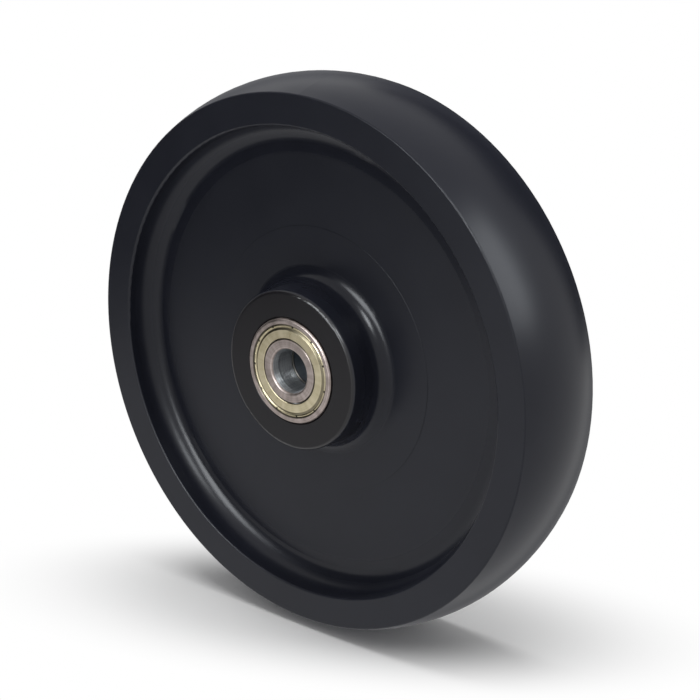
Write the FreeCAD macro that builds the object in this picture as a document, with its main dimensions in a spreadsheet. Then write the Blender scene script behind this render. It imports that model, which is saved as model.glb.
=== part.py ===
"""Polyamide wheel on two shielded ball bearings.

The wheel stands upright in its own frame: +Z up, millimetres, the axle along Y, the front face
towards -Y, and the origin at the middle of the axle bore.
"""
import FreeCAD, Part
import math
import os
import Sketcher

doc = FreeCAD.newDocument("polyamide_wheel")
sheet = doc.addObject("Spreadsheet::Sheet", "Sizes")

# Driving sizes, in millimetres, degrees or counts
DRIVING_SIZES = {
    # wheel body
    "wheel_diameter": 250.0,
    "tread_width": 48.0,
    "crown_drop": 4.65,
    "tread_edge_rounding": 0.7,
    "rim_thickness": 14.2,
    "rim_edge_rounding": 0.9,
    "recess_depth": 13.0,
    "recess_fillet": 9.0,
    "hub_diameter": 72.0,
    "hub_length": 61.0,
    "hub_edge_rounding": 1.8,
    "hub_fillet": 7.0,
    "pad_diameter": 120.6,
    "pad_rise": 0.3,
    "pad_edge_rounding": 0.25,
    "seat_ledge": 4.0,
    "seat_chamfer": 0.8,
    # bearings
    "bore_diameter": 20.0,
    "bearing_diameter": 47.0,
    "bearing_width": 14.0,
    "bearing_proud": 0.9,
    "outer_ring_rounding": 1.0,
    "inner_ring_rounding": 1.0,
    "ring_lip_chamfer": 0.4,
    "inner_groove_depth": 1.669,
    "outer_groove_depth": 1.569,
    "ring_face_width": 2.7,
    "lip_width": 0.7,
    "shield_groove_depth": 0.55,
    "ball_diameter": 7.938,
    "ball_count": 8,
    "raceway_ratio": 0.52,
    "raceway_clearance": 0.05,
    # shields
    "shield_thickness": 0.35,
    "shield_setback": 0.12,
    "shield_gap": 0.35,
    "shield_edge_rounding": 0.25,
    "step_run": 0.85,
    "valley_setback": 0.65,
    "valley_width": 0.25,
    "valley_rounding": 0.25,
    "bead_setback": 0.35,
    "bead_clearance": 0.05,
    "bead_run": 0.4,
    "bead_width": 0.35,
    "bead_rounding": 0.2,
    "slit_count": 11,
    "slit_width": 0.5,
    "slit_length": 1.15,
    "slit_phase": 84.6,
    # cages
    "cage_thickness": 0.7,
    "cage_clearance": 0.8,
    "pocket_clearance": 0.12,
    "rivet_head_share": 0.57,
    "rivet_shank_share": 0.3,
    "rivet_head_rise": 0.47,
    # spacer tube
    "spacer_step": 0.9,
    "spacer_clearance": 0.3,
    "spacer_chamfer": 0.4,
}

# Sizes worked out from the driving ones
DERIVED_SIZES = {
    # wheel body, measured from the middle plane and the axle
    "wheel_radius": "wheel_diameter / 2",
    "half_tread": "tread_width / 2",
    "tread_edge_radius": "wheel_radius - crown_drop",
    "crown_radius": "(half_tread ^ 2 + crown_drop ^ 2) / (2 * crown_drop)",
    "recess_radius": "tread_edge_radius - rim_thickness",
    "half_web": "half_tread - recess_depth",
    "half_pad": "half_web + pad_rise",
    "pad_radius": "pad_diameter / 2",
    "hub_radius": "hub_diameter / 2",
    "half_hub": "hub_length / 2",
    "bearing_radius": "bearing_diameter / 2",
    "core_radius": "bearing_radius - seat_ledge",
    # bearings, measured from their own middle plane
    "bore_radius": "bore_diameter / 2",
    "half_bearing": "bearing_width / 2",
    "bearing_place": "half_hub + bearing_proud - half_bearing",
    "seat_floor": "bearing_place - half_bearing",
    "pitch_radius": "(bore_radius + bearing_radius) / 2",
    "ball_radius": "ball_diameter / 2",
    "raceway_radius": "ball_diameter * raceway_ratio",
    "outer_raceway": "pitch_radius + ball_radius + raceway_clearance",
    "inner_raceway": "pitch_radius - ball_radius - raceway_clearance",
    "outer_shoulder": "outer_raceway - outer_groove_depth",
    "inner_shoulder": "inner_raceway + inner_groove_depth",
    "outer_raceway_half": "sqrt(raceway_radius ^ 2 - (raceway_radius - outer_groove_depth) ^ 2)",
    "inner_raceway_half": "sqrt(raceway_radius ^ 2 - (raceway_radius - inner_groove_depth) ^ 2)",
    "lip_radius": "bearing_radius - ring_face_width",
    "lip_back": "half_bearing - lip_width",
    "groove_radius": "lip_radius + shield_groove_depth",
    # shields
    "shield_face": "half_bearing - shield_setback",
    "shield_back": "shield_face - shield_thickness",
    "shield_hole_radius": "inner_shoulder + shield_gap",
    "valley_face": "half_bearing - valley_setback",
    "valley_back": "valley_face - shield_thickness",
    "bead_top": "half_bearing - bead_setback",
    "bead_under": "bead_top - shield_thickness",
    "curl_radius": "groove_radius - shield_groove_depth / 2",
    "bead_outer_radius": "lip_radius - bead_clearance - (bead_top - lip_back)",
    "bead_inner_radius": "bead_outer_radius - bead_width",
    "bead_foot_radius": "bead_inner_radius - bead_run",
    "step_foot_radius": "bead_foot_radius - valley_width",
    "step_top_radius": "step_foot_radius - step_run",
    "curl_top": "bead_top - (curl_radius - bead_outer_radius)",
    "ledge": "curl_top - shield_thickness",
    "curl_under_radius": "curl_radius - shield_thickness",
    "bead_under_radius": "curl_under_radius - (bead_under - ledge)",
    "slit_inner_end": "groove_radius - slit_length",
    "half_slit": "slit_width / 2",
    # cages
    "cage_inner_radius": "inner_shoulder + cage_clearance",
    "cage_outer_radius": "outer_shoulder - cage_clearance",
    "pocket_radius": "ball_radius + pocket_clearance",
    "dome_radius": "pocket_radius + cage_thickness",
    "trim_outer_radius": "pitch_radius + 2 * dome_radius",
    "trim_inner_radius": "pitch_radius - 2 * dome_radius",
    "trim_height": "2 * dome_radius",
    "ball_step": "360 / ball_count",
    "rivet_across": "pitch_radius * cos(ball_step / 2 * 1 deg)",
    "rivet_up": "pitch_radius * sin(ball_step / 2 * 1 deg)",
    "half_flat": "rivet_up - sqrt(dome_radius ^ 2 - cage_thickness ^ 2)",
    "rivet_radius": "half_flat * rivet_shank_share",
    "rivet_head_radius": "half_flat * rivet_head_share",
    "rivet_head_height": "rivet_head_radius * rivet_head_rise",
    "rivet_shank_edge": "pitch_radius + rivet_radius",
    "rivet_head_edge": "pitch_radius + rivet_head_radius",
    "rivet_top": "cage_thickness + rivet_head_height",
    "rivet_head_curve": "(rivet_head_radius ^ 2 + rivet_head_height ^ 2) / (2 * rivet_head_height)",
    # spacer tube
    "spacer_radius": "inner_shoulder - spacer_step",
    "spacer_bore_radius": "bore_radius + spacer_clearance",
}

# Numbers that a sketch gives to its origin and to the points of a curve
ORIGIN, START, END, CENTRE = -1, 1, 2, 3

# How near an edge lies to its computed place, in millimetres, and the least share that a cut takes away
EDGE_TOLERANCE = 1e-4
LEAST_CUT = 1e-6


def fill_sheet():
    """Writes every size to the sheet, one to a row, with its name as alias."""
    row = 1
    for alias, number in DRIVING_SIZES.items():
        sheet.set(f"A{row}", alias)
        sheet.set(f"B{row}", str(number))
        sheet.setAlias(f"B{row}", alias)
        row += 1
    for alias, formula in DERIVED_SIZES.items():
        sheet.set(f"A{row}", alias)
        sheet.set(f"B{row}", "=" + formula)
        sheet.setAlias(f"B{row}", alias)
        row += 1
    doc.recompute()


class Size:
    """A named size of the sheet, with a sign: its value now and its text in an expression."""

    def __init__(self, alias, sign=1):
        self.alias = alias
        self.sign = sign

    def __neg__(self):
        return Size(self.alias, -self.sign)

    @property
    def value(self):
        return self.sign * float(sheet.get(self.alias))

    @property
    def text(self):
        return ("-" if self.sign < 0 else "") + "Sizes." + self.alias


class Zero:
    """A coordinate on an axis of the sketch."""

    value = 0.0
    text = "0"


ZERO = Zero()


def new_body(name):
    """A body whose name is the name of its node."""
    body = doc.addObject("PartDesign::Body", name)
    body.Label = name
    return body


def origin_feature(body, role):
    """The origin plane or axis of a body that has this role."""
    for feature in body.Origin.OriginFeatures:
        if feature.Role == role:
            return feature
    raise ValueError(role)


def new_sketch(body, name, plane):
    """A sketch of a body on one of the body's origin planes."""
    sketch = body.newObject("Sketcher::SketchObject", name)
    sketch.AttachmentSupport = [(origin_feature(body, plane), "")]
    sketch.MapMode = "FlatFace"
    return sketch


def bind_constraint(sketch, constraint, name, text):
    """Adds a constraint with a name and ties its value to an expression."""
    index = sketch.addConstraint(constraint)
    sketch.renameConstraint(index, name)
    if text != "0":
        sketch.setExpression("Constraints." + name, text)


def place_point(sketch, geometry, end, label, place):
    """Holds an end of a sketch line at a place given by two sizes."""
    for kind, size in zip(("DistanceX", "DistanceY"), place):
        constraint = Sketcher.Constraint(kind, ORIGIN, START, geometry, end, size.value)
        bind_constraint(sketch, constraint, f"{label}_{kind[-1]}", size.text)


def vector(place):
    """The point of the sketch plane given by two sizes."""
    return FreeCAD.Vector(place[0].value, place[1].value, 0)


def end_at(sketch, geometry, point):
    """Which end of a curve of the sketch lies at a point."""
    first = sketch.getPoint(geometry, START)
    last = sketch.getPoint(geometry, END)
    return START if first.distanceToPoint(point) < last.distanceToPoint(point) else END


def add_outline(sketch, label, corners, arcs=None):
    """Adds a closed outline.

    corners: the places of its corners in order, each a pair of sizes.
    arcs: for each side that is an arc, by its first corner's number, a point that the side passes
    through, as two plain numbers, and the size of its radius.
    """
    arcs = arcs or {}
    count = len(corners)
    sides = []
    for number in range(count):
        here = vector(corners[number])
        there = vector(corners[(number + 1) % count])
        if number in arcs:
            middle = FreeCAD.Vector(*arcs[number][0], 0)
            sides.append(sketch.addGeometry(Part.Arc(here, middle, there), False))
        else:
            sides.append(sketch.addGeometry(Part.LineSegment(here, there), False))
    for number in range(count):
        corner = vector(corners[number])
        before, after = sides[number - 1], sides[number]
        before_end = end_at(sketch, before, corner)
        after_end = end_at(sketch, after, corner)
        sketch.addConstraint(Sketcher.Constraint("Coincident", before, before_end, after, after_end))
        place_point(sketch, after, after_end, f"{label}{number}", corners[number])
    for number, (_, radius) in arcs.items():
        constraint = Sketcher.Constraint("Radius", sides[number], radius.value)
        bind_constraint(sketch, constraint, f"{label}{number}_radius", radius.text)


def add_circle(sketch, label, centre, radius):
    """Adds a circle whose centre and radius are sizes."""
    circle = Part.Circle(vector(centre), FreeCAD.Vector(0, 0, 1), radius.value)
    geometry = sketch.addGeometry(circle, False)
    place_point(sketch, geometry, CENTRE, label, centre)
    constraint = Sketcher.Constraint("Radius", geometry, radius.value)
    bind_constraint(sketch, constraint, label + "_radius", radius.text)


def revolve(body, name, kind, outlines, arcs=None):
    """Turns outlines of places (along the axle, radius) about the axle; arcs are those of the first."""
    sketch = new_sketch(body, name + "_section", "YZ_Plane")
    for number, corners in enumerate(outlines):
        add_outline(sketch, f"outline{number}_corner", corners, arcs if number == 0 else None)
    volume = body.Shape.Volume if body.Tip else 0
    feature = body.newObject(kind, name)
    feature.Profile = sketch
    feature.ReferenceAxis = (sketch, ["H_Axis"])
    feature.Angle = 360
    is_cut = kind == "PartDesign::Groove"
    feature.Refine = not is_cut
    sketch.Visibility = False
    doc.recompute()
    check_cut(body, feature, is_cut, volume)
    return feature


def check_cut(body, feature, is_cut, volume):
    """Stops if a cut has taken nothing away."""
    if is_cut and body.Shape.Volume > volume * (1 - LEAST_CUT):
        raise RuntimeError(f"{feature.Name}: nothing was cut")


def cut_through(body, name, draw):
    """Cuts an outline, drawn square to the axle by draw, right through the body along the axle."""
    sketch = new_sketch(body, name + "_outline", "XZ_Plane")
    draw(sketch)
    volume = body.Shape.Volume
    cut = body.newObject("PartDesign::Pocket", name)
    cut.Profile = sketch
    cut.Type = "ThroughAll"
    cut.Midplane = True
    cut.Refine = False
    sketch.Visibility = False
    doc.recompute()
    check_cut(body, cut, True, volume)
    return cut


def add_sphere(body, name, kind, radius):
    """Sphere on the first ball's place, added to or cut from a cage half, with its faces left as cut."""
    sphere = body.newObject(kind, name)
    sphere.Refine = False
    sphere.AttachmentSupport = [(origin_feature(body, "XZ_Plane"), "")]
    sphere.MapMode = "FlatFace"
    sphere.setExpression("Radius", "Sizes." + radius)
    sphere.setExpression(".AttachmentOffset.Base.x", "Sizes.pitch_radius")
    return sphere


def rectangle(low, high, inner, outer):
    """Corners of a rectangle, from low to high along one axis and from inner to outer along the other."""
    return [(low, inner), (low, outer), (high, outer), (high, inner)]


def pattern(body, name, original, count):
    """Repeats a feature round the axle."""
    repeat = body.newObject("PartDesign::PolarPattern", name)
    repeat.Originals = [original]
    repeat.Axis = (origin_feature(body, "Y_Axis"), [""])
    repeat.Angle = 360
    repeat.setExpression("Occurrences", "Sizes." + count)
    repeat.Refine = False
    body.Tip = repeat
    doc.recompute()
    return repeat


def ring_edges(feature, rings):
    """Names of the round edges about the axle at the given places (along the axle, radius)."""
    names = []
    for along, radius in rings:
        for number, edge in enumerate(feature.Shape.Edges, 1):
            curve = edge.Curve
            if not isinstance(curve, Part.Circle):
                continue
            off_axis = math.hypot(curve.Center.x, curve.Center.z)
            off_place = max(off_axis, abs(curve.Center.y - along), abs(curve.Radius - radius))
            if off_place < EDGE_TOLERANCE:
                names.append(f"Edge{number}")
    if len(names) < len(rings):
        raise ValueError(f"{feature.Name}: an edge wasn't found")
    return names


def both_sides(along, radius):
    """The same ring on the front and the rear side of the middle plane."""
    return [(-along.value, radius.value), (along.value, radius.value)]


def finish_edges(body, name, kind, amount, rings):
    """Rounds or chamfers ring edges of the body's latest feature."""
    base = body.Tip
    feature = body.newObject(kind, name)
    feature.Base = (base, ring_edges(base, rings))
    feature.setExpression("Radius" if kind.endswith("Fillet") else "Size", "Sizes." + amount)
    doc.recompute()
    return feature


def mirrored(front):
    """A closed outline from its corners on the positive side of the middle plane."""
    return front + [(-along, radius) for along, radius in reversed(front)]


def build_wheel_body():
    """One solid: crowned tread, rim, dished web with a raised ring, and the hub with its two seats."""
    body = new_body("wheel_body")
    half = [
        (Size("seat_floor"), Size("core_radius")),
        (Size("seat_floor"), Size("bearing_radius")),
        (Size("half_hub"), Size("bearing_radius")),
        (Size("half_hub"), Size("hub_radius")),
        (Size("half_pad"), Size("hub_radius")),
        (Size("half_pad"), Size("pad_radius")),
        (Size("half_web"), Size("pad_radius")),
        (Size("half_web"), Size("recess_radius")),
        (Size("half_tread"), Size("recess_radius")),
        (Size("half_tread"), Size("tread_edge_radius")),
    ]
    crown = {len(half) - 1: ((0, Size("wheel_radius").value), Size("crown_radius"))}
    revolve(body, "wheel_turned", "PartDesign::Revolution", [mirrored(half)], crown)
    half_pad, half_web, half_hub = Size("half_pad"), Size("half_web"), Size("half_hub")
    hub_radius, pad_radius = Size("hub_radius"), Size("pad_radius")
    recess_radius, half_tread = Size("recess_radius"), Size("half_tread")
    fillet = "PartDesign::Fillet"
    finish_edges(body, "hub_root", fillet, "hub_fillet", both_sides(half_pad, hub_radius))
    finish_edges(body, "recess_floor", fillet, "recess_fillet", both_sides(half_web, recess_radius))
    finish_edges(body, "pad_edge", fillet, "pad_edge_rounding", both_sides(half_pad, pad_radius))
    finish_edges(body, "hub_edge", fillet, "hub_edge_rounding", both_sides(half_hub, hub_radius))
    finish_edges(body, "rim_edge", fillet, "rim_edge_rounding", both_sides(half_tread, recess_radius))
    tread_rings = both_sides(half_tread, Size("tread_edge_radius"))
    finish_edges(body, "tread_edge", fillet, "tread_edge_rounding", tread_rings)
    seat_rings = both_sides(half_hub, Size("bearing_radius"))
    finish_edges(body, "seat_mouth", "PartDesign::Chamfer", "seat_chamfer", seat_rings)
    return body


def build_spacer():
    """Tube that holds the two inner rings apart."""
    body = new_body("spacer_tube")
    half = [
        (Size("seat_floor"), Size("spacer_bore_radius")),
        (Size("seat_floor"), Size("spacer_radius")),
    ]
    revolve(body, "spacer_turned", "PartDesign::Revolution", [mirrored(half)])
    rings = both_sides(Size("seat_floor"), Size("spacer_radius"))
    rings += both_sides(Size("seat_floor"), Size("spacer_bore_radius"))
    finish_edges(body, "spacer_ends", "PartDesign::Chamfer", "spacer_chamfer", rings)
    return body


def build_outer_ring(name):
    """Outer ring: raceway, shoulders, and at each side a ledge and groove for a shield."""
    body = new_body(name)
    half = [
        (Size("outer_raceway_half"), Size("outer_shoulder")),
        (Size("ledge"), Size("outer_shoulder")),
        (Size("ledge"), Size("groove_radius")),
        (Size("lip_back"), Size("groove_radius")),
        (Size("lip_back"), Size("lip_radius")),
        (Size("half_bearing"), Size("lip_radius")),
        (Size("half_bearing"), Size("bearing_radius")),
    ]
    raceway = {2 * len(half) - 1: ((0, Size("outer_raceway").value), Size("raceway_radius"))}
    revolve(body, name + "_turned", "PartDesign::Revolution", [mirrored(half)], raceway)
    face = Size("half_bearing")
    finish_edges(body, name + "_corner", "PartDesign::Fillet", "outer_ring_rounding",
                 both_sides(face, Size("bearing_radius")))
    finish_edges(body, name + "_lip", "PartDesign::Chamfer", "ring_lip_chamfer",
                 both_sides(face, Size("lip_radius")))
    return body


def build_inner_ring(name):
    """Inner ring: bore, shoulders and raceway."""
    body = new_body(name)
    half = [
        (Size("half_bearing"), Size("bore_radius")),
        (Size("half_bearing"), Size("inner_shoulder")),
        (Size("inner_raceway_half"), Size("inner_shoulder")),
    ]
    raceway = {len(half) - 1: ((0, Size("inner_raceway").value), Size("raceway_radius"))}
    revolve(body, name + "_turned", "PartDesign::Revolution", [mirrored(half)], raceway)
    face = Size("half_bearing")
    finish_edges(body, name + "_bore_corner", "PartDesign::Fillet", "inner_ring_rounding",
                 both_sides(face, Size("bore_radius")))
    finish_edges(body, name + "_shoulder", "PartDesign::Chamfer", "ring_lip_chamfer",
                 both_sides(face, Size("inner_shoulder")))
    return body


def build_shield(name):
    """Pressed shield on the -Y side: flat disc, step, valley, bead and a slit curl behind the ring's lip."""
    body = new_body(name)
    hole_edge = (-Size("shield_face"), Size("shield_hole_radius"))
    step_top = (-Size("shield_face"), Size("step_top_radius"))
    step_foot = (-Size("valley_face"), Size("step_foot_radius"))
    bead_foot = (-Size("valley_face"), Size("bead_foot_radius"))
    bead_inner = (-Size("bead_top"), Size("bead_inner_radius"))
    bead_outer = (-Size("bead_top"), Size("bead_outer_radius"))
    front = [hole_edge, step_top, step_foot, bead_foot, bead_inner, bead_outer,
             (-Size("curl_top"), Size("curl_radius"))]
    back = [
        (-Size("ledge"), Size("curl_radius")),
        (-Size("ledge"), Size("curl_under_radius")),
        (-Size("bead_under"), Size("bead_under_radius")),
        (-Size("valley_back"), Size("bead_foot_radius")),
        (-Size("valley_back"), Size("step_foot_radius")),
        (-Size("shield_back"), Size("step_top_radius")),
        (-Size("shield_back"), Size("shield_hole_radius")),
    ]
    revolve(body, name + "_pressed", "PartDesign::Revolution", [front + back])
    roundings = {
        "shield_edge_rounding": [hole_edge],
        "valley_rounding": [step_top, step_foot, bead_foot],
        "bead_rounding": [bead_inner, bead_outer],
    }
    for rounding, corners in roundings.items():
        rings = [(along.value, radius.value) for along, radius in corners]
        finish_edges(body, f"{name}_{rounding}", "PartDesign::Fillet", rounding, rings)
    slot = rectangle(Size("slit_inner_end"), Size("groove_radius"), -Size("half_slit"), Size("half_slit"))
    slit = cut_through(body, name + "_slit", lambda sketch: add_outline(sketch, "corner", slot))
    pattern(body, name + "_slits", slit, "slit_count")
    return body


def build_cage_half(name):
    """Pressed cage half on the -Y side of the balls: a flat ring with a round pocket over each ball."""
    body = new_body(name)
    flat = rectangle(-Size("cage_thickness"), ZERO, Size("cage_inner_radius"), Size("cage_outer_radius"))
    revolve(body, name + "_flat", "PartDesign::Revolution", [flat])
    dome = add_sphere(body, name + "_dome", "PartDesign::AdditiveSphere", "dome_radius")
    dome.Angle1 = 0
    doc.recompute()
    pattern(body, name + "_domes", dome, "ball_count")
    low, high = -Size("trim_height"), Size("trim_height")
    outside = rectangle(low, high, Size("cage_outer_radius"), Size("trim_outer_radius"))
    inside = rectangle(low, high, Size("trim_inner_radius"), Size("cage_inner_radius"))
    revolve(body, name + "_trim", "PartDesign::Groove", [outside, inside])
    pocket = add_sphere(body, name + "_pocket", "PartDesign::SubtractiveSphere", "pocket_radius")
    doc.recompute()
    pattern(body, name + "_pockets", pocket, "ball_count")
    centre = (Size("rivet_across"), Size("rivet_up"))
    hole = cut_through(body, name + "_hole",
                       lambda sketch: add_circle(sketch, "centre", centre, Size("rivet_radius")))
    pattern(body, name + "_holes", hole, "ball_count")
    return body


def build_rivets(name):
    """The rivets of a cage, with a round head at each end, one between each two balls."""
    body = new_body(name)
    section = [
        (Size("pitch_radius"), -Size("rivet_top")),
        (Size("rivet_head_edge"), -Size("cage_thickness")),
        (Size("rivet_shank_edge"), -Size("cage_thickness")),
        (Size("rivet_shank_edge"), Size("cage_thickness")),
        (Size("rivet_head_edge"), Size("cage_thickness")),
        (Size("pitch_radius"), Size("rivet_top")),
    ]
    curve, top = Size("rivet_head_curve"), Size("rivet_top").value
    reach = Size("rivet_head_radius").value / 2
    height = top - curve.value + math.sqrt(curve.value ** 2 - reach ** 2)
    across = Size("pitch_radius").value + reach
    heads = {0: ((across, -height), curve), 4: ((across, height), curve)}
    sketch = new_sketch(body, name + "_section", "XY_Plane")
    add_outline(sketch, "corner", section, heads)
    rivet = body.newObject("PartDesign::Revolution", name + "_rivet")
    rivet.Profile = sketch
    rivet.ReferenceAxis = (sketch, [f"Edge{len(section)}"])
    rivet.Angle = 360
    sketch.Visibility = False
    doc.recompute()
    pattern(body, name + "_round", rivet, "ball_count")
    return body


def build_ball(name, number, side):
    """Ball of a bearing: number counts from 0 round the pitch circle, side is - for the front bearing."""
    ball = doc.addObject("Part::Sphere", name)
    ball.Label = name
    ball.setExpression("Radius", "Sizes.ball_radius")
    ball.setExpression(".Placement.Base.x", f"Sizes.pitch_radius * cos(Sizes.ball_step * {number} * 1 deg)")
    ball.setExpression(".Placement.Base.y", f"{side}Sizes.bearing_place")
    ball.setExpression(".Placement.Base.z", f"Sizes.pitch_radius * sin(Sizes.ball_step * {number} * 1 deg)")
    return ball


def place(body, side, faces_rear=False, turn=None):
    """Puts a bearing piece in its seat.

    side: - for the front bearing, or nothing for the rear one.
    faces_rear: turns a piece that is modelled on the -Y side over to the +Y side.
    turn: expression for how far the piece is turned about the axle, from +X towards +Z.
    """
    if turn:
        body.Placement.Rotation = FreeCAD.Rotation(FreeCAD.Vector(0, -1, 0), 1)
        body.setExpression(".Placement.Rotation.Angle", turn)
    elif faces_rear:
        body.Placement.Rotation = FreeCAD.Rotation(FreeCAD.Vector(1, 0, 0), 180)
    body.setExpression(".Placement.Base.y", f"{side}Sizes.bearing_place")
    return body


def build_bearing(name, side):
    """One shielded ball bearing with all that is inside it."""
    outboard_is_rear = side == ""
    pieces = [
        place(build_outer_ring(name + "_outer_ring"), side),
        place(build_inner_ring(name + "_inner_ring"), side),
        place(build_shield(name + "_outboard_shield"), side, outboard_is_rear,
              None if outboard_is_rear else "Sizes.slit_phase * 1 deg"),
        place(build_shield(name + "_inboard_shield"), side, not outboard_is_rear),
        place(build_cage_half(name + "_cage_outboard_half"), side, outboard_is_rear),
        place(build_cage_half(name + "_cage_inboard_half"), side, not outboard_is_rear),
        place(build_rivets(name + "_cage_rivets"), side, turn="Sizes.ball_step / 2 * 1 deg"),
    ]
    for number in range(int(Size("ball_count").value)):
        pieces.append(build_ball(f"{name}_ball_{number + 1}", number, side))
    return pieces


def check_and_write(nodes):
    """Stops if anything failed, and writes each sub-part to its own file."""
    doc.recompute()
    for item in doc.Objects:
        if "Invalid" in item.State or "Error" in item.State:
            raise RuntimeError(f"{item.Name}: {item.State}")
    for node in nodes:
        if node.Shape.isNull() or not node.Shape.isValid() or not node.Shape.Solids:
            raise RuntimeError(f"{node.Label}: no valid solid")
    os.makedirs("parts", exist_ok=True)
    for node in nodes:
        node.Shape.exportStep(f"parts/{node.Label}.step")
        print(f"{node.Label}: {len(node.Shape.Solids)} solid(s), {node.Shape.Volume:.1f} mm3")


fill_sheet()
all_nodes = [build_wheel_body(), build_spacer()]
all_nodes += build_bearing("front", "-")
all_nodes += build_bearing("rear", "")
check_and_write(all_nodes)
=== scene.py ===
"""Looks of a polyamide wheel: black turned plastic with a shielded ball bearing in each end of its hub.

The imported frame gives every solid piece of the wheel, and no piece is added here. This script gives each
piece its finish and sets up the floor, the lights and the camera. Lengths are in metres, +Z is up, the axle
lies along Y and the front face looks towards -Y.
"""

import logging
import math
from dataclasses import dataclass
from enum import Enum
from functools import cache
from typing import Any

import bmesh
import bpy
from mathutils import Matrix, Vector


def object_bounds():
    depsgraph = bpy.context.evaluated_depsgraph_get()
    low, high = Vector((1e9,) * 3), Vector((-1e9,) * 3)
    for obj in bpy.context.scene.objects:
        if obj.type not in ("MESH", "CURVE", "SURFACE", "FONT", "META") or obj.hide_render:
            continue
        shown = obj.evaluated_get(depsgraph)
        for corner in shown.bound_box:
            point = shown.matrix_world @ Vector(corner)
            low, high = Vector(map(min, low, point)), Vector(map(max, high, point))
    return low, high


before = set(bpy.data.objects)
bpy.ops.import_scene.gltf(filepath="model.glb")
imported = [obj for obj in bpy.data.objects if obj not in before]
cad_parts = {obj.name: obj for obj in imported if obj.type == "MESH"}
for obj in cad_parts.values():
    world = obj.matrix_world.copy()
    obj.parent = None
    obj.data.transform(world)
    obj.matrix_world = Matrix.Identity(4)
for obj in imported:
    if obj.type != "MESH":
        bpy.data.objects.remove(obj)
CAD_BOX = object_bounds()

MM = 0.001
WHITE = (1.0, 1.0, 1.0)
RGB = tuple[float, float, float]
log = logging.getLogger("wheel")


class Place(Enum):
    """The coordinate of a point of the wheel that a pattern follows."""

    RADIUS = "distance from the axle"
    ALONG = "distance along the axle"
    TURN = "angle round the axle"


class Wire:
    """A socket of a material, wrapped so that shader maths reads as an expression."""

    def __init__(self, shader: "Shader", socket: bpy.types.NodeSocket) -> None:
        """Wraps a socket.

        Args:
            shader: the material that the socket belongs to.
            socket: an output socket.
        """
        self.shader = shader
        self.socket = socket

    def maths(self, operation: str, *values: Any) -> "Wire":
        """Adds one Math node.

        Args:
            operation: the node's operation.
            values: its inputs, numbers or wires, this wire alone if left out.

        Returns:
            The node's result.
        """
        values = values or (self,)
        return self.shader.node("ShaderNodeMath", {"operation": operation}, dict(enumerate(values)))

    def __add__(self, other: Any) -> "Wire":
        """self + other."""
        return self.maths("ADD", self, other)

    def __radd__(self, other: Any) -> "Wire":
        """other + self."""
        return self.maths("ADD", other, self)

    def __sub__(self, other: Any) -> "Wire":
        """self - other."""
        return self.maths("SUBTRACT", self, other)

    def __rsub__(self, other: Any) -> "Wire":
        """other - self."""
        return self.maths("SUBTRACT", other, self)

    def __mul__(self, other: Any) -> "Wire":
        """self * other."""
        return self.maths("MULTIPLY", self, other)

    def __rmul__(self, other: Any) -> "Wire":
        """other * self."""
        return self.maths("MULTIPLY", other, self)

    def __truediv__(self, other: Any) -> "Wire":
        """self / other."""
        return self.maths("DIVIDE", self, other)

    def __pow__(self, other: Any) -> "Wire":
        """self ** other."""
        return self.maths("POWER", self, other)

    def __abs__(self) -> "Wire":
        """Distance from 0."""
        return self.maths("ABSOLUTE", self)

    def ramp(self, low: float, high: float, start: float = 0.0, end: float = 1.0) -> "Wire":
        """Eases from one number to another as this value goes from low to high.

        Args:
            low: value at which the result starts to change.
            high: value at which it has changed.
            start: result at low.
            end: result at high.

        Returns:
            The eased value.
        """
        values = {"Value": self, "From Min": low, "From Max": high, "To Min": start, "To Max": end}
        return self.shader.node("ShaderNodeMapRange", {"interpolation_type": "SMOOTHSTEP"}, values)


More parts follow.
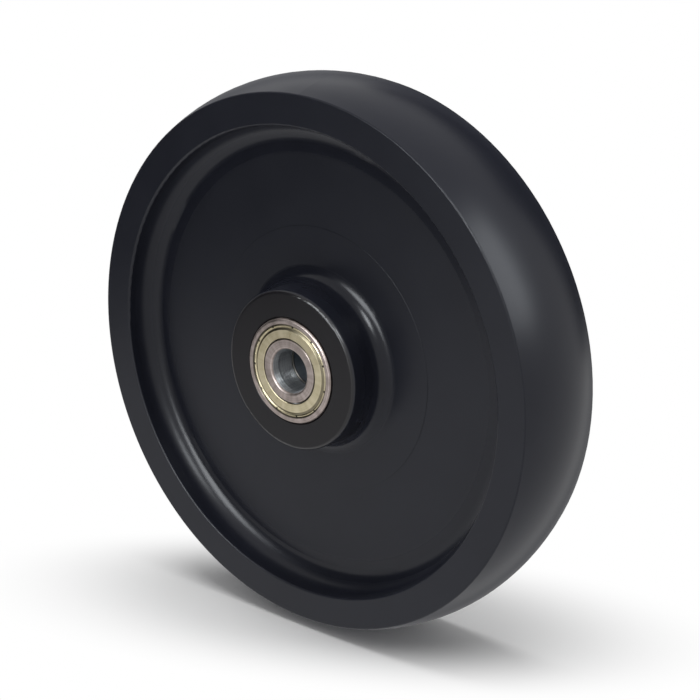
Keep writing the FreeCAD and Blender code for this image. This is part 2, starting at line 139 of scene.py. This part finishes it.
class Shader:
    """The node tree of one material or of the world."""

    def __init__(self, owner: bpy.types.Material | bpy.types.World) -> None:
        """Takes a new material or world and empties its nodes.

        Args:
            owner: the material or world.
        """
        self.owner = owner
        owner.use_nodes = True
        self.tree = owner.node_tree
        self.tree.nodes.clear()

    @classmethod
    def named(cls, name: str) -> "Shader":
        """A new material with this name."""
        return cls(bpy.data.materials.new(name))

    def node(self, kind: str, settings: dict[str, Any] | None = None,
             values: dict[Any, Any] | None = None, output: int | str = 0) -> Wire:
        """Adds one node.

        Args:
            kind: the node's type.
            settings: its own settings, set before its inputs.
            values: numbers, colours or wires for its inputs, by name or number.
            output: which output to return.

        Returns:
            The wrapped output.
        """
        item = self.tree.nodes.new(kind)
        for key, setting in (settings or {}).items():
            setattr(item, key, setting)
        for key, value in (values or {}).items():
            if isinstance(value, Wire):
                self.tree.links.new(value.socket, item.inputs[key])
            else:
                item.inputs[key].default_value = value
        return Wire(self, item.outputs[output] if item.outputs else None)

    def seen(self) -> Wire:
        """Tells what is looked at from what lights the scene.

        Returns:
            1 for what the camera, a polished face or a clear piece shows, and 0 otherwise.
        """
        rays = ("Is Camera Ray", "Is Glossy Ray", "Is Transmission Ray")
        camera, glossy, through = [self.node("ShaderNodeLightPath", output=ray) for ray in rays]
        either = camera.maths("MAXIMUM", camera, glossy)
        return either.maths("MAXIMUM", either, through)

    def glance(self, start: float = 0.62, end: float = 0.82) -> Wire:
        """Marks what is looked along, so that its gloss can be dulled.

        Args:
            start: slant at which the mark begins, 0 for a face seen straight on and 1 for its outline.
            end: slant at which it is full.

        Returns:
            From 0 to 1.
        """
        return self.node("ShaderNodeLayerWeight", values={"Blend": 0.5}, output="Facing").ramp(start, end)

    def point(self) -> Wire:
        """The point being shaded, in the wheel's own coordinates."""
        return self.node("ShaderNodeTexCoord", output="Object")

    def place(self, what: Place) -> Wire:
        """A cylindrical coordinate of the point being shaded.

        Args:
            what: which coordinate.

        Returns:
            Metres, or radians for the turn.
        """
        axes = [self.node("ShaderNodeSeparateXYZ", values={0: self.point()}, output=axis) for axis in "XYZ"]
        across, along, height = axes
        if what is Place.ALONG:
            return along
        if what is Place.TURN:
            return height.maths("ARCTAN2", height, across)
        return (across * across + height * height) ** 0.5

    def spoke(self) -> Wire:
        """The direction from the axle to the point being shaded.

        Returns:
            A vector one unit long.
        """
        square_to_axle = (1.0, 0.0, 1.0)
        values = {0: self.point(), 1: square_to_axle}
        flat = self.node("ShaderNodeVectorMath", {"operation": "MULTIPLY"}, values)
        return self.node("ShaderNodeVectorMath", {"operation": "NORMALIZE"}, {0: flat})

    def noise(self, size: float, where: Wire | None = None, detail: float = 2.0,
              dimensions: str = "3D") -> Wire:
        """Soft noise from 0 to 1.

        Args:
            size: width of its features, in metres.
            where: the coordinate that it follows, the point itself if left out.
            detail: number of finer layers.
            dimensions: 3D for a point, 1D for a number.

        Returns:
            The noise.
        """
        values: dict[str, Any] = {"Scale": 1 / size, "Detail": detail}
        key = "W" if dimensions == "1D" else "Vector"
        values[key] = where or self.point()
        return self.node("ShaderNodeTexNoise", {"noise_dimensions": dimensions}, values)

    def blend(self, share: Any, first: Any, second: Any) -> Wire:
        """Mixes two colours.

        Args:
            share: how much of the second shows.
            first: colour, three numbers or a wire.
            second: colour, three numbers or a wire.

        Returns:
            The mixed colour.
        """
        # a Mix node keeps its colours in inputs 6 and 7 and its mixed colour in output 2
        values = {0: share, 6: colour(first), 7: colour(second)}
        return self.node("ShaderNodeMix", {"data_type": "RGBA"}, values, output=2)

    def bump(self, height: Wire) -> Wire:
        """A normal bent by a relief.

        Args:
            height: the relief, in metres.

        Returns:
            The normal.
        """
        return self.node("ShaderNodeBump", values={"Distance": MM, "Height": height / MM})

    def flatten(self, normal: Wire, share: Wire) -> Wire:
        """Turns a normal towards the axle's direction, as on the wheel's flat faces.

        Args:
            normal: the normal.
            share: how far it is turned, from 0 to 1.

        Returns:
            The turned normal.
        """
        outwards = self.place(Place.ALONG).ramp(-MM, MM, -1.0, 1.0)
        flat = self.node("ShaderNodeCombineXYZ", values={"Y": outwards})
        # a Mix node keeps its vectors in inputs 4 and 5 and its mixed vector in output 1
        return self.node("ShaderNodeMix", {"data_type": "VECTOR"}, {0: share, 4: normal, 5: flat}, output=1)

    def surface(self, **inputs: Any) -> bpy.types.Material:
        """Closes the material with one surface.

        Args:
            inputs: inputs of the surface, with underscores for the spaces in their names.

        Returns:
            The finished material.
        """
        values = {name.replace("_", " "): value for name, value in inputs.items()}
        shaded = self.node("ShaderNodeBsdfPrincipled", values=values)
        self.node("ShaderNodeOutputMaterial", values={"Surface": shaded})
        return self.owner


def colour(value: Any) -> Any:
    """A colour with its fourth number, or the wire that it already is."""
    return value if isinstance(value, Wire) else (*value, 1.0)


@dataclass(frozen=True)
class Band:
    """A ring-shaped zone, the same on both sides of the wheel, with soft edges."""

    radius: tuple[float, float]
    along: tuple[float, float]
    share: float = 0.9
    edge: float = 0.15 * MM

    def mask(self, shader: Shader) -> Wire:
        """Marks the zone.

        Args:
            shader: the material that is being built.

        Returns:
            The band's share inside the zone and 0 outside.
        """
        marked: Any = self.share
        places = (shader.place(Place.RADIUS), self.radius), (abs(shader.place(Place.ALONG)), self.along)
        for value, (low, high) in places:
            marked = marked * value.ramp(low - self.edge, low) * value.ramp(high, high + self.edge, 1.0, 0.0)
        return marked


@dataclass(frozen=True)
class Polyamide:
    """Black polyamide as it comes off the lathe: satin, with fine turning marks and faint clouding.

    Its first four fields are zones of the wheel: the faced end of the hub, the polished edge round it, the
    smooth fillets, and the radius of a small step that is shaded softer than its solid.
    """

    faced: Band
    polished: Band
    fillets: tuple[Band, ...]
    step_radius: float
    name: str = "black_polyamide"
    dark: RGB = (0.0110, 0.0121, 0.0190)
    light: RGB = (0.0156, 0.0171, 0.0258)
    faced_colour: RGB = (0.0090, 0.0076, 0.0090)
    roughness: float = 0.33
    roughness_spread: float = 0.06
    fillet_smoothness: float = 0.11
    glance_roughness: float = 0.22
    gloss_level: float = 0.22
    polish_roughness: float = 0.10
    step_core: float = 0.55 * MM
    step_reach: float = 1.1 * MM
    step_softness: float = 0.75
    mark_pitch: float = 0.45 * MM
    mark_depth: float = 0.002 * MM
    mark_slant: float = 0.7
    grain_size: float = 0.35 * MM
    grain_depth: float = 0.003 * MM
    cloud_size: float = 30 * MM

    def material(self) -> bpy.types.Material:
        """Builds the material.

        Returns:
            The finished material.
        """
        shader = Shader.named(self.name)
        radius = shader.place(Place.RADIUS)
        along = shader.place(Place.ALONG)
        clouds = shader.noise(self.cloud_size, detail=4.0)
        rings = shader.noise(self.mark_pitch, radius + self.mark_slant * along, dimensions="1D", detail=3.0)
        grain = shader.noise(self.grain_size, detail=1.0)
        turned = shader.blend(clouds, self.dark, self.light)
        body = shader.blend(self.faced.mask(shader), turned, self.faced_colour)
        dull = shader.glance() * self.glance_roughness
        rough = self.roughness + (clouds + grain - 1.0) * self.roughness_spread + dull
        for fillet in self.fillets:
            rough = rough - fillet.mask(shader) * self.fillet_smoothness
        marked = shader.bump(rings * self.mark_depth + grain * self.grain_depth)
        step = abs(radius - self.step_radius).ramp(self.step_core, self.step_reach, self.step_softness, 0.0)
        return shader.surface(Base_Color=body, Roughness=rough, Specular_IOR_Level=self.gloss_level,
                              Coat_Weight=self.polished.mask(shader), Coat_Roughness=self.polish_roughness,
                              Normal=shader.flatten(marked, step))


@dataclass(frozen=True)
class Metal:
    """A bare or plated metal with fine marks round the axle and fainter streaks across them.

    Its bands are painted darker as painted shade in gaps and hollows, and the three shares say how much of
    the colour's pattern comes from clouds, marks and streaks.
    """

    name: str
    dark: RGB
    light: RGB
    roughness: float
    mark_pitch: float
    mark_depth: float
    cloud_size: float = 5 * MM
    streak_turn: float = math.radians(9)
    cloud_share: float = 0.3
    mark_share: float = 0.35
    streak_share: float = 0.35
    contrast: tuple[float, float] = (0.35, 0.65)
    roughness_spread: float = 0.1
    glance_roughness: float = 0.45
    # bands painted darker as painted shade in gaps, hollows and slit mouths, and the colour of that painted
    # shade
    shaded_bands: tuple[Band, ...] = ()
    shade_colour: RGB = (0.045, 0.04, 0.03)

    def colours(self, shader: Shader, pattern: Wire) -> Wire:
        """Spreads the metal's two colours.

        Args:
            shader: the material that is being built.
            pattern: from 0 to 1.

        Returns:
            The colour.
        """
        return shader.blend(pattern, self.dark, self.light)

    def relief(self, shader: Shader, marks: Wire) -> Wire:
        """Raises the marks.

        Args:
            shader: the material that is being built; not used here.
            marks: from 0 to 1.

        Returns:
            Height in metres.
        """
        return marks * self.mark_depth

    def material(self) -> bpy.types.Material:
        """Builds the material.

        Returns:
            The finished material.
        """
        shader = Shader.named(self.name)
        marks = shader.noise(self.mark_pitch, shader.place(Place.RADIUS) + shader.place(Place.ALONG),
                             dimensions="1D", detail=3.0)
        clouds = shader.noise(self.cloud_size, detail=4.0)
        streaks = shader.noise(self.streak_turn, shader.spoke(), detail=3.0)
        mixed = clouds * self.cloud_share + marks * self.mark_share + streaks * self.streak_share
        body = self.colours(shader, mixed.ramp(*self.contrast))
        # painted shade: each band darkens the colour towards the shade colour
        for band in self.shaded_bands:
            body = shader.blend(band.mask(shader), body, self.shade_colour)
        dull = shader.glance() * self.glance_roughness
        rough = self.roughness + (clouds + streaks - 1.0) * self.roughness_spread + dull
        normal = shader.bump(self.relief(shader, marks))
        return shader.surface(Base_Color=body, Metallic=1.0, Roughness=rough, Normal=normal)


@dataclass(frozen=True)
class ShieldSheet(Metal):
    """Yellow-passivated sheet with painted shade in the slit mouths of its curled rim."""

    slit_count: int = 11
    front_slit: float = math.radians(19.14)
    slit_reach: float = 0.42 * MM
    slit_fade: float = 1.3
    # zone of the painted shade in the slit mouths
    shaded_slit_zone: Band = Band((19.95 * MM, 21.0 * MM), (28.0 * MM, 32.0 * MM), share=0.95)

    def colours(self, shader: Shader, pattern: Wire) -> Wire:
        """Spreads the metal's two colours and paints shade into the slit mouths.

        Args:
            shader: the material that is being built.
            pattern: from 0 to 1.

        Returns:
            The colour.
        """
        first = shader.place(Place.ALONG).ramp(-MM, MM, self.front_slit, 0.0)
        beat = ((shader.place(Place.TURN) - first) * self.slit_count).maths("COSINE")
        near, far = [math.cos(self.slit_count * reach / self.shaded_slit_zone.radius[0])
                     for reach in (self.slit_reach, self.slit_fade * self.slit_reach)]
        # painted shade in the slit mouths, which look dark because their holes lie in shade
        slit_shade = beat.ramp(far, near) * self.shaded_slit_zone.mask(shader)
        return shader.blend(slit_shade, shader.blend(pattern, self.dark, self.light), self.shade_colour)


@dataclass(frozen=True)
class RingSteel(Metal):
    """Bearing steel: warm ground faces and a grey bore with deeper marks."""

    bore: Band = Band((0.0, 10.2 * MM), (0.0, 30.4 * MM), share=1.0)
    bore_dark: RGB = (0.22, 0.23, 0.24)
    bore_light: RGB = (0.40, 0.41, 0.42)
    bore_mark_pitch: float = 0.25 * MM
    bore_mark_depth: float = 0.30 * MM

    def colours(self, shader: Shader, pattern: Wire) -> Wire:
        """Spreads the colours of the faces and of the bore.

        Args:
            shader: the material that is being built.
            pattern: from 0 to 1.

        Returns:
            The colour.
        """
        faces = shader.blend(pattern, self.dark, self.light)
        wall = shader.blend(pattern, self.bore_dark, self.bore_light)
        return shader.blend(self.bore.mask(shader), faces, wall)

    def relief(self, shader: Shader, marks: Wire) -> Wire:
        """Raises the marks, and deeper ones in the bore.

        Args:
            shader: the material that is being built.
            marks: from 0 to 1.

        Returns:
            Height in metres.
        """
        deep = shader.noise(self.bore_mark_pitch, shader.place(Place.ALONG), dimensions="1D", detail=2.0)
        return marks * self.mark_depth + deep * self.bore.mask(shader) * self.bore_mark_depth


@cache
def material_of(finish: Polyamide | Metal) -> bpy.types.Material:
    """The material of a finish, built the first time that it is asked for."""
    return finish.material()


def wear(name: str, finish: Polyamide | Metal) -> None:
    """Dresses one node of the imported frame.

    Args:
        name: the node.
        finish: what it is made of.
    """
    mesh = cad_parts[name].data
    mesh.materials.clear()
    mesh.materials.append(material_of(finish))
    log.info("%s wears %s", name, finish.name)


@dataclass(frozen=True)
class WheelBody:
    """The one-piece wheel: crowned tread, rim, dished web, raised pad and hub."""

    hub_face: Band = Band((0.0, 35.0 * MM), (30.0 * MM, 31.0 * MM), share=0.85, edge=1.0 * MM)
    hub_edge: Band = Band((34.7 * MM, 36.3 * MM), (28.6 * MM, 31.0 * MM), share=0.35, edge=0.3 * MM)
    hub_fillet: Band = Band((36.3 * MM, 41.0 * MM), (8.0 * MM, 22.0 * MM), share=1.0, edge=2.5 * MM)
    recess_fillet: Band = Band((94.0 * MM, 101.0 * MM), (8.0 * MM, 23.0 * MM), share=1.0, edge=3.0 * MM)
    pad_radius: float = 60.3 * MM

    def finish(self) -> Polyamide:
        """The black polyamide, with this wheel's zones."""
        return Polyamide(self.hub_face, self.hub_edge, (self.hub_fillet, self.recess_fillet), self.pad_radius)

    def dress(self) -> None:
        """Dresses the wheel body."""
        wear("wheel_body", self.finish())


@dataclass(frozen=True)
class SpacerTube:
    """The tube between the two inner rings."""

    # painted shade where the tube's ends meet the inner rings
    tube_end_shade: Band = Band((0.0, 15.0 * MM), (16.6 * MM, 18.0 * MM))

    def finish(self) -> Metal:
        """Zinc plate, with painted shade where the tube meets the rings."""
        return Metal("zinc_plated_tube", dark=(0.30, 0.33, 0.36), light=(0.42, 0.45, 0.48), roughness=0.4,
                     mark_pitch=0.2 * MM, mark_depth=0.001 * MM, shaded_bands=(self.tube_end_shade,))

    def dress(self) -> None:
        """Dresses the tube."""
        wear("spacer_tube", self.finish())


class Side(Enum):
    """An end of the hub."""

    FRONT = "front"
    REAR = "rear"


@dataclass(frozen=True)
class Bearing:
    """The shielded ball bearing in one end of the hub."""

    side: Side
    ball_count: int = 8
    # painted shade in the gap between the rings and the shield, and at the ring's end beside the tube
    shield_gap_shade: Band = Band((14.2 * MM, 21.1 * MM), (28.5 * MM, 31.35 * MM))
    tube_gap_shade: Band = Band((0.0, 11.5 * MM), (17.0 * MM, 18.5 * MM))
    # painted shade in the shield's valley between its flat and its rim
    shield_valley_shade: Band = Band((18.75 * MM, 19.5 * MM), (0.0, 40.0 * MM), share=0.7, edge=0.3 * MM)

    def ring_steel(self) -> RingSteel:
        """Ground bearing steel, with painted shade where a ring meets a shield or the tube."""
        return RingSteel("ground_bearing_steel", dark=(0.22, 0.184, 0.17), light=(0.405, 0.345, 0.322),
                         roughness=0.36, mark_pitch=0.4 * MM, mark_depth=0.002 * MM,
                         shaded_bands=(self.shield_gap_shade, self.tube_gap_shade))

    def shield_sheet(self) -> ShieldSheet:
        """Yellow-passivated sheet, with painted shade in its valley."""
        return ShieldSheet("yellow_passivated_sheet", dark=(0.40, 0.35, 0.225), light=(0.55, 0.49, 0.345),
                           roughness=0.30, mark_pitch=0.3 * MM, mark_depth=0.0005 * MM,
                           shaded_bands=(self.shield_valley_shade,))

    def cage_sheet(self) -> Metal:
        """Pressed steel sheet."""
        return Metal("pressed_cage_sheet", dark=(0.38, 0.38, 0.39), light=(0.48, 0.48, 0.49), roughness=0.35,
                     mark_pitch=0.3 * MM, mark_depth=0.001 * MM)

    def ball_steel(self) -> Metal:
        """Polished ball steel."""
        return Metal("polished_ball_steel", dark=(0.58, 0.58, 0.59), light=(0.62, 0.62, 0.63), roughness=0.08,
                     mark_pitch=0.3 * MM, mark_depth=0.0001 * MM)

    def dress(self) -> None:
        """Dresses rings, shields, cage, rivets and balls."""
        finishes = {
            self.ring_steel(): ("outer_ring", "inner_ring"),
            self.shield_sheet(): ("outboard_shield", "inboard_shield"),
            self.cage_sheet(): ("cage_outboard_half", "cage_inboard_half", "cage_rivets"),
            self.ball_steel(): [f"ball_{number}" for number in range(1, self.ball_count + 1)],
        }
        for finish, pieces in finishes.items():
            for piece in pieces:
                wear(f"{self.side.value}_{piece}", finish)


class Job(Enum):
    """What a softbox is there for."""

    GLOSS = "shows in gloss alone"
    SHADOW = "lights rough faces alone and casts the floor's shadow"


@dataclass(frozen=True)
class Softbox:
    """A soft rectangular light that faces the wheel's middle.

    Directions are in degrees, from +X towards +Y and above the horizon, and lengths in metres. A radiance
    of 1 renders as white.
    """

    name: str
    azimuth: float
    elevation: float
    distance: float
    width: float
    height: float
    radiance: float
    job: Job = Job.GLOSS
    tint: RGB = (0.93, 0.97, 1.0)

    def build(self) -> None:
        """Adds the light to the scene."""
        turn, rise = math.radians(self.azimuth), math.radians(self.elevation)
        towards = Vector((math.cos(turn) * math.cos(rise), math.sin(turn) * math.cos(rise), math.sin(rise)))
        data = bpy.data.lights.new(self.name, "AREA")
        data.shape = "RECTANGLE"
        data.size, data.size_y = self.width, self.height
        data.energy = self.radiance * math.pi * self.width * self.height
        data.color = self.tint
        light = bpy.data.objects.new(self.name, data)
        facing = towards.to_track_quat("Z", "Y").to_matrix().to_4x4()
        light.matrix_world = Matrix.Translation(towards * self.distance) @ facing
        light.visible_camera = False
        light.visible_diffuse = self.job is Job.SHADOW
        light.visible_glossy = self.job is Job.GLOSS
        bpy.context.scene.collection.objects.link(light)
        log.info("%s %s", self.name, self.job.value)


SOFTBOXES = (
    Softbox("right_softbox", azimuth=16, elevation=33, distance=1.0, width=0.30, height=0.65,
            radiance=8.0),
    Softbox("front_softbox", azimuth=-98, elevation=14, distance=1.2, width=0.40, height=0.65,
            radiance=12.5),
    Softbox("camera_softbox", azimuth=-58, elevation=35, distance=1.3, width=0.40, height=0.35,
            radiance=20.0),
    Softbox("overhead", azimuth=-135, elevation=85, distance=1.5, width=0.30, height=1.20,
            radiance=12.0, job=Job.SHADOW, tint=WHITE),
)


def sheet(name: str, width: float, height: float, place: Matrix) -> bpy.types.Object:
    """Makes a flat rectangle, with its place in its mesh.

    Args:
        name: its name.
        width: its size along X, before it is placed.
        height: its size along Y, before it is placed.
        place: where it goes and which way it faces.

    Returns:
        The rectangle.
    """
    mesh = bpy.data.meshes.new(name)
    shape = bmesh.new()
    bmesh.ops.create_grid(shape, x_segments=1, y_segments=1, size=1.0)
    bmesh.ops.scale(shape, vec=(width / 2, height / 2, 1.0), verts=shape.verts)
    bmesh.ops.transform(shape, matrix=place, verts=shape.verts)
    shape.to_mesh(mesh)
    shape.free()
    rectangle = bpy.data.objects.new(name, mesh)
    bpy.context.scene.collection.objects.link(rectangle)
    return rectangle


@dataclass(frozen=True)
class Flag:
    """A black card that stands on the floor, shows in gloss alone and darkens what a face mirrors."""

    name: str
    azimuth: float
    distance: float
    width: float
    height: float
    black: RGB = (0.02, 0.02, 0.02)

    def build(self, floor_height: float) -> None:
        """Stands the card on the floor.

        Args:
            floor_height: height of the floor.
        """
        turn = math.radians(self.azimuth)
        towards = Vector((math.cos(turn), math.sin(turn), 0.0))
        facing = towards.to_track_quat("Z", "Y").to_matrix().to_4x4()
        middle = towards * self.distance + Vector((0.0, 0.0, floor_height + self.height / 2))
        card = sheet(self.name, self.width, self.height, Matrix.Translation(middle) @ facing)
        card.visible_camera = False
        card.visible_diffuse = False
        card.visible_shadow = False
        shader = Shader.named(self.name)
        black = shader.node("ShaderNodeBsdfDiffuse", values={"Color": colour(self.black)})
        shader.node("ShaderNodeOutputMaterial", values={"Surface": black})
        card.data.materials.append(shader.owner)


FLAGS = (
    Flag("left_flag", azimuth=-143, distance=0.45, width=0.50, height=0.45),
    Flag("back_flag", azimuth=95, distance=0.70, width=0.80, height=0.75),
)


@dataclass(frozen=True)
class Floor:
    """A plain pale floor that keeps the wheel's shadow and is plain white away from it.

    The shadow's zone is an ellipse: from shadow_reach to white_reach the floor turns white. It is stretch
    times as long as it is wide, and its length is turned from +X towards +Y.
    """

    size: float = 12.0
    pale: RGB = (0.97, 0.97, 0.97)
    shadow_reach: float = 0.07
    white_reach: float = 0.19
    stretch: float = 2.4
    turn: float = math.radians(26)

    def reach(self, shader: Shader) -> Wire:
        """How far a point of the floor is from the middle of the shadow's zone.

        Args:
            shader: the floor's material.

        Returns:
            Metres along the zone's length.
        """
        across, along = [shader.node("ShaderNodeSeparateXYZ", values={0: shader.point()}, output=axis)
                         for axis in "XY"]
        cosine, sine = math.cos(self.turn), math.sin(self.turn)
        length = across * cosine + along * sine
        width = (along * cosine - across * sine) * self.stretch
        return (length * length + width * width) ** 0.5

    def build(self, floor_height: float) -> None:
        """Lays the floor under the wheel.

        Args:
            floor_height: height of the floor.
        """
        floor = sheet("floor", self.size, self.size, Matrix.Translation((0.0, 0.0, floor_height)))
        shader = Shader.named("floor")
        lit = shader.node("ShaderNodeBsdfDiffuse", values={"Color": colour(self.pale)})
        white = shader.node("ShaderNodeEmission", values={"Color": colour(WHITE), "Strength": 1.0})
        white_share = self.reach(shader).ramp(self.shadow_reach, self.white_reach) * shader.seen()
        mirrored = shader.node("ShaderNodeLightPath", output="Is Glossy Ray")
        share = mirrored.maths("MAXIMUM", mirrored, white_share)
        mixed = shader.node("ShaderNodeMixShader", values={0: share, 1: lit, 2: white})
        shader.node("ShaderNodeOutputMaterial", values={"Surface": mixed})
        floor.data.materials.append(shader.owner)


@dataclass(frozen=True)
class Camera:
    """The photograph's camera, which looks at the wheel from the front right and from above.

    It stands at a distance from the aim and then slides to the right and up without turning.
    """

    aim: tuple[float, float, float] = (0.0, -0.024, 0.0)
    azimuth: float = math.radians(40.35)
    elevation: float = math.radians(19.29)
    distance: float = 0.93991
    slide_right: float = 0.021642
    slide_up: float = 0.007434
    focal_pixels: float = 2163.61
    frame_pixels: float = 700.0
    sensor: float = 36.0
    nearest: float = 0.05
    farthest: float = 50.0

    def build(self) -> None:
        """Sets the camera up."""
        right = Vector((math.cos(self.azimuth), math.sin(self.azimuth), 0.0))
        back = Vector((math.sin(self.azimuth) * math.cos(self.elevation),
                       -math.cos(self.azimuth) * math.cos(self.elevation), math.sin(self.elevation)))
        up = back.cross(right)
        data = bpy.data.cameras.new("camera")
        data.sensor_width = self.sensor
        data.lens = self.focal_pixels / self.frame_pixels * self.sensor
        data.clip_start = self.nearest
        data.clip_end = self.farthest
        camera = bpy.data.objects.new("camera", data)
        place = Vector(self.aim) + self.slide_right * right + self.slide_up * up + self.distance * back
        camera.matrix_world = Matrix.Translation(place) @ Matrix((right, up, back)).transposed().to_4x4()
        bpy.context.scene.collection.objects.link(camera)
        bpy.context.scene.camera = camera


@dataclass(frozen=True)
class Studio:
    """Camera, floor, white surround and lights, placed round the wheel as it stands on its tread."""

    floor_height: float
    ambient: float = 0.45

    def surround(self) -> None:
        """Makes the surround plain white to look at and in mirrors, and dimmer as a light on rough faces."""
        world = bpy.data.worlds.new("world")
        bpy.context.scene.world = world
        shader = Shader(world)
        strength = shader.seen() * (1 - self.ambient) + self.ambient
        white = shader.node("ShaderNodeBackground", values={"Color": colour(WHITE), "Strength": strength})
        shader.node("ShaderNodeOutputWorld", values={"Surface": white})

    def build(self) -> None:
        """Builds the whole studio."""
        bpy.context.scene.view_settings.view_transform = "Standard"
        Camera().build()
        Floor().build(self.floor_height)
        self.surround()
        for softbox in SOFTBOXES:
            softbox.build()
        for flag in FLAGS:
            flag.build(self.floor_height)
        log.info("studio built")


def main() -> None:
    """Builds the scene."""
    logging.basicConfig(level=logging.INFO)
    WheelBody().dress()
    SpacerTube().dress()
    for side in Side:
        Bearing(side).dress()
    Studio(floor_height=CAD_BOX[0][2]).build()


if __name__ == "__main__":
    main()
